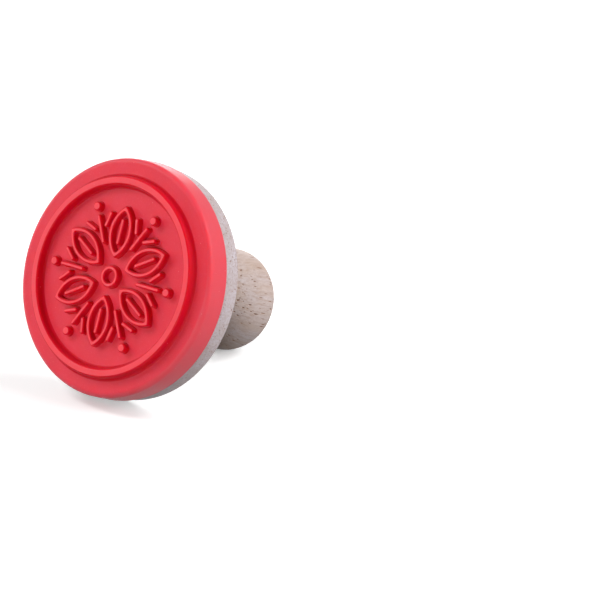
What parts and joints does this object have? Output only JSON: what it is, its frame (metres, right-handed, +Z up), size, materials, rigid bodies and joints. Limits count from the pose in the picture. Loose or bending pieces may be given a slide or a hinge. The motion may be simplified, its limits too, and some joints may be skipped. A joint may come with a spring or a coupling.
{
  "type": "cookie stamp",
  "caption": "Round cookie stamp: a silicone pad with a raised border and flower on a wooden disc, with a turned wooden knob handle.",
  "frame": {"origin": "centre of the bounding box's bottom face, on the table that the stamp lies on", "axes": "+Z up; the stamp lies on its disc's back rim and its knob, with its face looking towards -Y and its own axis rising 23.2 degrees above -Y; +X across"},
  "size_m": [0.07, 0.0758, 0.0683],
  "materials": {
    "red_silicone": "satin moulded silicone",
    "disc_wood": "bare sanded pale hardwood",
    "handle_wood": "bare sanded pale hardwood with open pores",
    "screw_steel": "zinc plated"
  },
  "bodies": {
    "root": {"stamp_pad": "red_silicone", "base_disc": "disc_wood", "handle": "handle_wood", "fixing_screw": "screw_steel"}
  },
  "joints": []
}
